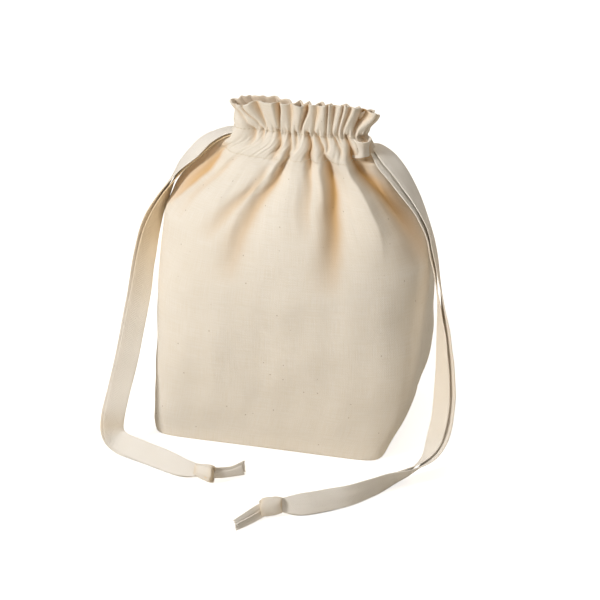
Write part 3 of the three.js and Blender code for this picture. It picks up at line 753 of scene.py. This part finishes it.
# The folds that hang from the gathers, each followed down the cloth: height, place round
# the pouch, depth, half width to the left of its deepest line and to the right
FOLDS = [
    [
        (216, 0.03, 0, 0.02, 0.02), (210, 0.04, 5, 0.03, 0.03), (203, 0.052, 8, 0.034, 0.036),
        (194, 0.058, 9, 0.036, 0.04), (185, 0.054, 8, 0.034, 0.034), (177, 0.046, 5, 0.03, 0.026),
        (167, 0.034, 0, 0.03, 0.02),
    ],
    [
        (212, 0.11, 0, 0.01, 0.02), (200, 0.105, 2.6, 0.011, 0.024), (184, 0.09, 2, 0.013, 0.028),
        (164, 0.08, 0, 0.015, 0.03),
    ],
    [
        (208, 0.205, 0, 0.012, 0.02), (200, 0.203, 2.6, 0.013, 0.02),
        (190, 0.19, 4.2, 0.014, 0.026), (175, 0.163, 3.4, 0.016, 0.03),
        (156, 0.14, 0, 0.018, 0.034),
    ],
    [
        (219, 0.218, 0, 0.007, 0.007), (211, 0.238, 6, 0.009, 0.01),
        (203, 0.238, 7.6, 0.01, 0.014), (195, 0.23, 6.8, 0.012, 0.022),
        (186, 0.216, 5.8, 0.015, 0.03), (176, 0.204, 4.9, 0.017, 0.034),
        (163, 0.192, 3.7, 0.019, 0.036), (146, 0.184, 2.2, 0.018, 0.038),
        (128, 0.181, 0, 0.02, 0.04),
    ],
    [
        (214, 0.222, 0, 0.01, 0.01), (203, 0.218, -1.8, 0.012, 0.01),
        (192, 0.196, -2, 0.014, 0.01), (182, 0.187, -1.8, 0.014, 0.01),
        (167, 0.176, -1.2, 0.016, 0.012), (150, 0.172, 0, 0.018, 0.014),
    ],
    [
        (217, 0.284, 0, 0.007, 0.008), (209, 0.303, 6.6, 0.008, 0.012),
        (203, 0.308, 4.6, 0.01, 0.014), (194, 0.305, 3.4, 0.014, 0.016),
        (180, 0.298, 2, 0.018, 0.018), (162, 0.295, 0, 0.02, 0.02),
    ],
    [
        (216, 0.33, 0, 0.008, 0.01), (209, 0.352, 8, 0.011, 0.016),
        (202, 0.357, 10, 0.014, 0.024), (190, 0.35, 10.5, 0.016, 0.03),
        (175, 0.339, 8.6, 0.017, 0.034), (160, 0.33, 6, 0.018, 0.036),
        (145, 0.325, 3, 0.02, 0.038), (126, 0.322, 0, 0.022, 0.04),
    ],
    [
        (212, 0.322, 0, 0.01, 0.01), (203, 0.333, -1.4, 0.012, 0.01),
        (190, 0.33, -1.6, 0.014, 0.011), (176, 0.323, -1.3, 0.015, 0.012),
        (152, 0.311, 0, 0.016, 0.014),
    ],
    [
        (218, 0.385, 0, 0.009, 0.009), (208, 0.4, -2, 0.012, 0.009),
        (199, 0.407, -3.4, 0.015, 0.009), (186, 0.407, -4.4, 0.02, 0.009),
        (174, 0.406, -3.6, 0.02, 0.01), (164, 0.4, -1.4, 0.02, 0.012),
        (154, 0.396, 0, 0.018, 0.014),
    ],
    [
        (221, 0.403, 0, 0.007, 0.01), (212, 0.417, 6, 0.009, 0.024),
        (205, 0.43, 9.5, 0.013, 0.036), (197, 0.442, 10.5, 0.018, 0.042),
        (188, 0.455, 10, 0.022, 0.046), (176, 0.462, 8, 0.026, 0.048),
        (162, 0.462, 4, 0.03, 0.046), (142, 0.458, 0, 0.034, 0.046),
    ],
    [
        (207, 0.545, 0, 0.02, 0.02), (192, 0.55, 4.5, 0.02, 0.02), (160, 0.552, 0, 0.02, 0.02),
    ],
    [
        (211, 0.6, 0, 0.012, 0.01), (200, 0.603, 6.5, 0.02, 0.013), (178, 0.6, 5, 0.026, 0.015),
        (150, 0.596, 0, 0.03, 0.018),
    ],
    [
        (209, 0.652, 0, 0.01, 0.01), (200, 0.66, 5, 0.015, 0.015), (168, 0.668, 0, 0.018, 0.018),
    ],
    [
        (212, 0.7, 0, 0.01, 0.01), (202, 0.702, 8, 0.013, 0.02), (182, 0.705, 7, 0.014, 0.03),
        (145, 0.71, 0, 0.018, 0.034),
    ],
    [
        (209, 0.752, 0, 0.01, 0.01), (200, 0.75, 4.5, 0.013, 0.013), (175, 0.75, 0, 0.015, 0.015),
    ],
    [
        (211, 0.8, 0, 0.012, 0.01), (201, 0.798, 7, 0.022, 0.012), (180, 0.792, 6, 0.028, 0.014),
        (150, 0.786, 0, 0.032, 0.018),
    ],
    [
        (208, 0.853, 0, 0.012, 0.012), (198, 0.857, 5, 0.016, 0.016),
        (168, 0.864, 0, 0.018, 0.018),
    ],
    [
        (208, 0.905, 0, 0.012, 0.012), (197, 0.91, 6, 0.014, 0.022),
        (180, 0.917, 4.4, 0.016, 0.026), (150, 0.925, 0, 0.02, 0.03),
    ],
    [
        (206, 0.955, 0, 0.016, 0.016), (196, 0.956, 3.5, 0.018, 0.018),
        (172, 0.957, 0, 0.02, 0.02),
    ],
]
# Valleys between the pleats of the frill: place at the rim and at the seam, depth, half
# width at the rim and at the seam
FRILL = [
    (0.028, 0.045, 3, 0.006, 0.003), (0.06, 0.08, 4.6, 0.005, 0.003),
    (0.105, 0.103, 5, 0.0105, 0.004), (0.174, 0.155, 7.5, 0.0074, 0.004),
    (0.214, 0.198, 3.6, 0.0105, 0.004), (0.262, 0.234, 7.5, 0.0066, 0.0045),
    (0.296, 0.284, 3.6, 0.0105, 0.004), (0.327, 0.329, 5, 0.0036, 0.003),
    (0.346, 0.349, 4.4, 0.0066, 0.003), (0.3735, 0.37, 4.8, 0.0034, 0.003),
    (0.394, 0.385, 5, 0.0066, 0.0035), (0.441, 0.43, 9.5, 0.0135, 0.006),
    (0.482, 0.472, 3, 0.006, 0.003), (0.53, 0.53, 5.5, 0.009, 0.004),
    (0.572, 0.57, 6, 0.009, 0.004), (0.61, 0.605, 4.5, 0.009, 0.004),
    (0.655, 0.655, 6.5, 0.01, 0.004), (0.69, 0.69, 4.5, 0.009, 0.004),
    (0.728, 0.73, 5.5, 0.008, 0.004), (0.756, 0.758, 4.5, 0.008, 0.004),
    (0.79, 0.795, 5.5, 0.01, 0.004), (0.835, 0.838, 2, 0.012, 0.004),
    (0.87, 0.868, 1.4, 0.012, 0.004), (0.91, 0.9, 1.6, 0.014, 0.004),
    (0.945, 0.935, 1.4, 0.012, 0.004), (0.975, 0.965, 1.8, 0.01, 0.004),
]
# The same below the seam, where the pleats are bunched: place at the seam and at the foot,
# height of the foot, depth, half width
CASING = [
    (0.055, 0.1, 213, 3.8, 0.0045), (0.088, 0.125, 216, 3.2, 0.0042),
    (0.107, 0.12, 221, 1.8, 0.0035), (0.15, 0.216, 206, 4.8, 0.0048),
    (0.19, 0.238, 209, 3.8, 0.0045), (0.217, 0.244, 212, 2.8, 0.0035),
    (0.262, 0.303, 206, 5.6, 0.005), (0.293, 0.352, 208, 4.4, 0.0045),
    (0.327, 0.34, 213, 3.2, 0.0035), (0.355, 0.393, 211, 3.6, 0.0036),
    (0.371, 0.393, 218, 2.6, 0.0034), (0.401, 0.424, 207, 4.8, 0.005),
    (0.53, 0.52, 206, 3, 0.005), (0.565, 0.54, 204, 3.6, 0.005), (0.6, 0.57, 204, 3.4, 0.005),
    (0.632, 0.61, 212, 2.4, 0.004), (0.66, 0.63, 202, 4.4, 0.005), (0.69, 0.665, 210, 2.8, 0.004),
    (0.725, 0.69, 204, 4, 0.005), (0.755, 0.73, 212, 3, 0.004), (0.79, 0.75, 204, 4.2, 0.005),
    (0.825, 0.79, 211, 3, 0.004), (0.86, 0.81, 206, 3.8, 0.005), (0.9, 0.85, 204, 4.2, 0.005),
    (0.935, 0.89, 210, 3, 0.004), (0.965, 0.93, 208, 3.2, 0.005),
]
# How far the rim drops and how far it leans towards the front, by place round it
RIM_DROP = through(
    [0, 0.03, 0.06, 0.1, 0.14, 0.25, 0.3, 0.35, 0.4, 0.437]
    + [0.47, 0.5, 0.53, 0.57, 0.62, 0.78, 0.85, 0.92, 0.96, 1],
    [4.5, 5.5, 5, 0.5, 0, 0, -1.2, -2, -1.5, 1.2]
    + [3.5, 6.5, 6, 3.5, 2.5, 2.5, 3, 3, 3.4, 4.5],
)
RIM_LEAN = through(
    [0, 0.06, 0.12, 0.17, 0.3, 0.45, 0.5, 0.56, 0.62, 0.78, 0.83, 0.87, 0.93, 1],
    [1, 2.5, 1, 0, 0, 0, 1, 5, 9, 9.5, 6, 3.5, 3, 1],
)
heights = [row[0] for row in OUTLINES]
shape_at = [through(heights, [row[k] for row in OUTLINES]) for k in range(1, 5)]


def outline(shape, t):
    """Points on an outline by their share of its length, with the way out of it."""
    left, right, depth, square = shape
    half = (right - left) / 2
    angle = math.pi + np.linspace(0, 2 * math.pi, 1441)
    c, s = np.cos(angle), np.sin(angle)
    reach = (np.abs(c / half) ** square + np.abs(s / depth) ** square) ** (-1 / square)
    x, y = reach * c, reach * s
    run = np.concatenate([[0], np.cumsum(np.hypot(np.diff(x), np.diff(y)))])
    want = (np.asarray(t) % 1) * run[-1]
    px, py = np.interp(want, run, x), np.interp(want, run, y)
    nx = np.sign(px) * np.abs(px / half) ** (square - 1) / half
    ny = np.sign(py) * np.abs(py / depth) ** (square - 1) / depth
    n = np.hypot(nx, ny)
    return px + (left + right) / 2, py, nx / n, ny / n


def ruffles(t, z):
    """The valleys between the pleats of the frill."""
    total = np.zeros_like(t)
    rise = float(smooth((z - SEAM_UPPER) / 20))
    for rim, seam, depth, wide, narrow in FRILL:
        off = t - (seam + (rim - seam) * rise)
        side = np.abs(off - np.round(off)) / (narrow + (wide - narrow) * rise)
        total = np.maximum(total, depth * np.exp(-(side**1.8)))
    return total * float(smooth((z - 226) / 5)) * (0.4 + 0.6 * rise)


def creases(t, z):
    """The sharp creases of the bunched cloth below the seam, with puffed cloth between."""
    total = np.zeros_like(t)
    for place, end, foot, depth, width in CASING:
        size = depth * float(smooth((z - foot) / 11) * smooth((230.5 - z) / 4))
        if size <= 0:
            continue
        down = (SEAM_UPPER - z) / (SEAM_UPPER - foot)
        off = t - (place + (end - place) * down)
        side = np.abs(off - np.round(off)) / (width * (0.8 + 0.5 * down))
        across = 0.62 * np.exp(-(side**1.3)) + 0.38 * np.exp(-((side / 2.6) ** 2))
        total = np.maximum(total, size * across)
    return total


def fold(t, z):
    """How deep the folds lie, and how much painted warm shade their shaded parts get."""
    total = np.zeros_like(t)
    glow = np.zeros_like(t)
    for rows in FOLDS:
        if not rows[-1][0] < z < rows[0][0]:
            continue
        up = np.array(rows[::-1]).T
        place, depth, left, right = (np.interp(z, up[0], values) for values in up[1:])
        off = t - place
        off = off - np.round(off)
        side = np.abs(off) / np.where(off < 0, left, right)
        total = total + depth * np.exp(-(side ** (1.9 if depth > 0 else 1.25)))
        # glow is painted warm shade: it lies mostly on each fold's shaded flank
        if depth > 0:
            lit_side = 0.3 if place < 0.4 else 0.7
            shaded = np.abs(off) / np.where(off < 0, 1.1 * left, lit_side * right)
            strongest_painted_shade = (depth / PAINTED_SHADE_DEPTH) ** PAINTED_SHADE_POWER
            glow = np.maximum(glow, strongest_painted_shade * np.exp(-(shaded**1.8)))
    return total, glow


def wrinkles(t, z):
    """Small irregular waves: upright ones near the gathers, broad ones lower down."""
    w = 2 * math.pi * t
    high = 0.4 * smooth((z - 140) / 60) * smooth((209 - z) / 16)
    fine = 0.42 * np.sin(37 * w + 0.05 * z) + 0.3 * np.sin(59 * w + 1.3 - 0.03 * z)
    fine = fine + 0.35 * np.sin(23 * w + 0.7 + 0.02 * z)
    low = smooth((150 - z) / 40) * smooth(z / 30)
    broad = 0.9 * np.sin(3 * w + 0.021 * z + 0.4) * np.sin(0.033 * z + 5 * w)
    broad = broad + 0.5 * np.sin(9 * w - 0.06 * z) * np.sin(0.05 * z + 1.1 + 2 * w)
    crumple = 0.28 * np.sin(17 * w + 0.11 * z) * np.sin(0.13 * z - 6 * w + 0.8)
    return high * fine * 0.8 + low * (broad + crumple)


def skin(t, z):
    """The outer face at one height: points, and the painted warm shade at each point."""
    shape = [float(at(z)) for at in shape_at]
    x, y, nx, ny = outline(shape, t)
    place = t % 1
    w = 2 * math.pi * place
    casing = float(smooth((z - 205) / 9) * smooth((230.5 - z) / 4))
    ruffle = ruffles(t, z)
    bunch = creases(t, z)
    bunch = bunch + casing * 0.25 * np.sin(61 * w + 0.12 * z) * np.sin(11 * w + 1)
    left_slit = bump(place - LEFT_SLIT[0] - np.where(place > 0.5, 1, 0), LEFT_SLIT[1])
    right_slit = bump(place - RIGHT_SLIT[0], RIGHT_SLIT[1])
    flap = 9.5 * left_slit * float(smooth((z - 207) / 18) * smooth((244 - z) / 15))
    slot = 4.4 * right_slit * float(smooth((z - 207) / 4) * smooth((229 - z) / 3))
    hollow = 3 * bump(place - 0.462, 0.022) * bump(z - 209.5, 3.4)
    puff = 0.9 * float(smooth((z - 230) / 10)) * np.sin(13 * w + 1)
    swell = 1.3 * float(np.sin(math.pi * np.clip((z - 205) / 21, 0, 1)))
    tight = 0.8 + 0.5 * np.sin(47 * w) + 0.3 * np.sin(83 * w + 1)
    tight = bump(z - SEAM_UPPER - 0.4, 3.4) * tight * (1 - 0.9 * left_slit)
    seams = 0.22 * bump(z - SEAM_LOWER - 0.3, 1.1) + slot + hollow
    fold_depth, glow = fold(t, z)
    depth = ruffle + bunch + fold_depth + wrinkles(t, z) + tight + seams - puff - swell - flap
    x = x - nx * depth
    y = y - ny * depth
    over = float(smooth((z - SEAM_UPPER) / 21)) ** 1.4
    y = y - over * RIM_LEAN(place)
    drop = (RIM_DROP(place) + 0.22 * ruffle) * float(smooth((z - 229) / 19))
    ragged = float(smooth((z - 240) / 8)) * (0.35 * np.sin(19 * w + 0.6) + 0.2 * np.sin(43 * w))
    # Painted warm shade in the frill's valleys, the casing's creases, the folds' shaded flanks,
    # the gathered seam and the right slit
    painted_warm_shade = 0.115 * ruffle + 0.15 * bunch + 0.95 * glow + 0.05 * tight + 0.12 * (slot + hollow)
    return np.stack([x, y, z - drop + ragged], axis=1), np.clip(painted_warm_shade, 0, 1)


columns = (np.arange(COLUMNS) + 0.5) / COLUMNS
levels = np.concatenate(
    [
        [0, 0.35, 0.9, 1.7, 2.8, 4.2, 6, 8],
        np.arange(10, 120, 3.0),
        np.arange(120, 186, 2.2),
        np.arange(186, 247.5, 1.2),
        [247.3, RIM_HEIGHT],
    ]
)


def pouch():
    """The cloth as one closed surface: up the outside, over the rim and down the inside."""
    rows = []
    painted_warm_shades = []
    for z in levels:
        points, painted_warm_shade = skin(columns, float(z))
        rows.append(points)
        painted_warm_shades.append(painted_warm_shade)
    outer = np.array(rows)
    painted_warm_shade = np.array(painted_warm_shades)
    # The base is tucked under: a rounded edge down to the flat underside.
    for j, pull in enumerate([1.7, 0.75, 0.3, 0.1, 0.0]):
        outer[j] = outer[j] - unit(outer[j] * [1, 1, 0]) * pull
        outer[j, :, 2] = levels[j]
    around = np.roll(outer, -1, axis=1) - np.roll(outer, 1, axis=1)
    up = np.gradient(outer, axis=0)
    way = unit(np.cross(around, up))
    # Round the hem's top edge, and go down inside it.
    over = unit(way[-1] * [1, 1, 0])
    inside = [outer[-1] - over * reach + [0, 0, 0.35] for reach in (0.45, 1.05)]
    # Painted warm shade inside: half the rim's at the hem's edge, more further down inside the
    # hem, most in the casing
    inside_painted_shade = [painted_warm_shade[-1] * 0.5, painted_warm_shade[-1] * 0.5]
    flat = 0 * columns
    casing_x, casing_y, _, _ = outline(CASING_INSIDE, columns)
    for j in reversed(range(len(levels))):
        z = levels[j]
        if z > 229:
            inside.append(outer[j] - way[j] * DOUBLE_PLY)
            inside_painted_shade.append(np.clip(0.25 + 0.018 * (RIM_HEIGHT - z) + flat, 0, 0.8))
        elif 209 <= z <= 227.8:
            inside.append(np.stack([casing_x, casing_y, z + flat], axis=1))
            inside_painted_shade.append(0.8 + flat)
        elif z < 204 and (j % 2 == 0 or z > 190) and z > 2:
            inside.append(outer[j] - way[j] * PLY)
            inside_painted_shade.append(0.5 + flat)
    base_x, base_y, _, _ = outline(BASE_INSIDE, columns)
    inside.append(np.stack([base_x, base_y, PLY + flat], axis=1))
    inside_painted_shade.append(0.5 + flat)
    cloth = np.concatenate([outer, np.array(inside)])
    painted_warm_shade = np.concatenate([painted_warm_shade, np.array(inside_painted_shade)])
    u = np.append(columns, columns[0] + 1) * GIRTH * MM
    step = np.linalg.norm(np.diff(cloth, axis=0), axis=2).mean(axis=1)
    v = np.concatenate([[0], np.cumsum(step)]) * MM
    build = Build()
    build.grid(cloth, u[None, :], v[:, None], painted_warm_shade, around=True)
    count = len(columns)
    flat = [(p[0] * MM, p[1] * MM) for p in cloth[0]]
    # Painted warm shade at the middle of the underside, a little, and of the inside floor, more
    build.fan(0, count, (0, 0, 0), flat, 0.1, True)
    flat = [(p[0] * MM, p[1] * MM) for p in cloth[-1]]
    build.fan((len(cloth) - 1) * count, count, (0, 0, PLY), flat, 0.5, False)
    return build.piece("pouch_cloth", CANVAS)


cloth = pouch()
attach(cloth, "root")
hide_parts("pouch_body")


STITCHES = 150  # to a row
STITCH_LIFT = 0.3
STITCH_RADIUS = 0.24


def stitches(name, rows):
    """Short stitches of sewing thread along rows of the cloth's outer face."""
    build = Build()
    ring = np.linspace(0, 2 * math.pi, 7)[:-1]
    for z in rows:
        for i in range(STITCHES):
            t = (i + np.linspace(0.12, 0.88, 5)) / STITCHES
            points, _ = skin(t, z)
            ahead, _ = skin(t + 0.0006, z)
            above, _ = skin(t, z + 0.4)
            way = unit(np.cross(ahead - points, above - points))
            height = STITCH_LIFT * np.sin(np.linspace(0.1, math.pi - 0.1, 5))[:, None]
            line = points + way * (height - 0.05)
            along = unit(np.gradient(line, axis=0))
            cross = unit(np.cross(along, way))
            c, s = np.cos(ring)[None, :, None], np.sin(ring)[None, :, None]
            round_it = c * way[:, None, :] + s * cross[:, None, :]
            tube = line[:, None, :] + STITCH_RADIUS * round_it
            build.grid(
                tube,
                np.linspace(0, 0.0015, 7)[None, :],
                np.linspace(0, 0.003, 5)[:, None],
                0.0,
                True,
                True,
            )
    return build.piece(name, THREAD)


seam = stitches("casing_stitches", [SEAM_UPPER - 0.2, SEAM_LOWER + 0.3])
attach(seam, "root")


CHANNEL_HEIGHT = 218.3
PLEATS_DEEPER = 2.4  # than the solid's, so the tapes lie this much further in
TAB_RISE = 1.8
TAB_NARROWING = 3.4


def channel_tape(name, start, end, lane, tab):
    """A tape in the casing. tab has the places where it bulges out, and how far."""
    t = np.linspace(start, end, 260)
    left, right, depth, square = CHANNEL_MIDDLE
    lane = lane - PLEATS_DEEPER
    x, y, nx, ny = outline((left - lane, right + lane, depth + lane, square), t)
    out = np.zeros_like(t)
    if tab:
        s = np.clip((t - tab[0]) / (tab[1] - tab[0]), 0, 1)
        out = tab[2] * np.sin(math.pi * s) ** 1.6
    pinched = out / max(out.max(), 1)
    height = CHANNEL_HEIGHT + TAB_RISE * pinched
    middle = np.stack([x + nx * out, y + ny * out, height], axis=1)
    across = unit(np.stack([0.18 * nx * pinched, 0.18 * ny * pinched, 1 + 0 * t], axis=1))
    widths = TAPE_WIDTH - TAB_NARROWING * pinched
    build = Build()
    # A little painted warm shade all along it
    ribbon(build, middle, across, widths, -1.6 * pinched, 0.15)
    return build.piece(name, TAPE)


left_channel = channel_tape("left_casing_tape", 0.05, 0.95, 0.85, (0.442, 0.512, 10.4))
right_channel = channel_tape("right_casing_tape", -0.455, 0.42, -0.85, None)
for piece, node in ((left_channel, "left_channel_tape"), (right_channel, "right_channel_tape")):
    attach(piece, "root")
    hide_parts(node)

# Floor, light and background
FLOOR_REACH = 6
FLOOR_HEIGHT = -0.0002
FLOOR_GLOW = 0.76
FLOOR_COLOUR = (0.80, 0.75, 0.67, 1)
FILL_COLOUR = (1.0, 0.87, 0.68, 1)
FILL_STRENGTH = 0.19


def seen_plainly(tree):
    """1 where the camera sees a surface itself, in a reflection or through glass."""
    path = tree.nodes.new("ShaderNodeLightPath")
    seen = path.outputs["Is Camera Ray"]
    for kind in ("Is Glossy Ray", "Is Transmission Ray"):
        most = tree.nodes.new("ShaderNodeMath")
        most.operation = "MAXIMUM"
        tree.links.new(seen, most.inputs[0])
        tree.links.new(path.outputs[kind], most.inputs[1])
        seen = most.outputs[0]
    return seen


corners = [(x * FLOOR_REACH, y * FLOOR_REACH) for x, y in ((-1, -1), (1, -1), (1, 1), (-1, 1))]
floor_mesh = bpy.data.meshes.new("floor")
floor_mesh.from_pydata([(x, y, FLOOR_HEIGHT) for x, y in corners], [], [(0, 1, 2, 3)])
floor = bpy.data.objects.new("floor", floor_mesh)
bpy.context.collection.objects.link(floor)
ground = Nodes("studio_floor")
ground.shader.inputs["Base Color"].default_value = FLOOR_COLOUR
ground.shader.inputs["Roughness"].default_value = 0.95
ground.shader.inputs["Specular IOR Level"].default_value = 0.0
ground.shader.inputs["Emission Color"].default_value = (1, 1, 1, 1)
glow = ground.math("MULTIPLY", seen_plainly(ground.tree), FLOOR_GLOW)
ground.join(glow, ground.shader.inputs["Emission Strength"])
floor_mesh.materials.append(ground.material)

bpy.context.scene.view_settings.view_transform = "Standard"
world = bpy.data.worlds.new("studio")
bpy.context.scene.world = world
world.use_nodes = True
tree = world.node_tree
tree.nodes.clear()
dim = tree.nodes.new("ShaderNodeBackground")
dim.inputs[0].default_value = FILL_COLOUR
dim.inputs[1].default_value = FILL_STRENGTH
white = tree.nodes.new("ShaderNodeBackground")
white.inputs[0].default_value = (1, 1, 1, 1)
white.inputs[1].default_value = 1.0
pick = tree.nodes.new("ShaderNodeMixShader")
tree.links.new(seen_plainly(tree), pick.inputs[0])
tree.links.new(dim.outputs[0], pick.inputs[1])
tree.links.new(white.outputs[0], pick.inputs[2])
out = tree.nodes.new("ShaderNodeOutputWorld")
tree.links.new(pick.outputs[0], out.inputs[0])


def lamp(name, where, aim, size, power, colour):
    """A round soft lamp: its place and aim in metres, its size, and its power in watts."""
    data = bpy.data.lights.new(name, "AREA")
    data.shape = "DISK"
    data.size = size
    data.energy = power
    data.color = colour
    light = bpy.data.objects.new(name, data)
    light.location = where
    light.rotation_euler = (Vector(aim) - Vector(where)).to_track_quat("-Z", "Y").to_euler()
    bpy.context.collection.objects.link(light)


lamp("key", (-1.15, -1.18, 1.15), (0, 0, 0.12), 0.36, 23.5, (1.0, 0.985, 0.96))
lamp("front", (0.1, -1.7, 0.9), (0, 0, 0.1), 1.2, 1.6, (1.0, 0.98, 0.95))
lamp("top", (0.25, -0.25, 1.6), (0, 0, 0.1), 0.9, 5, (1.0, 0.985, 0.96))
lamp("back", (0.5, 1.6, 1.0), (0, 0, 0.1), 1.2, 7, (1.0, 0.97, 0.92))
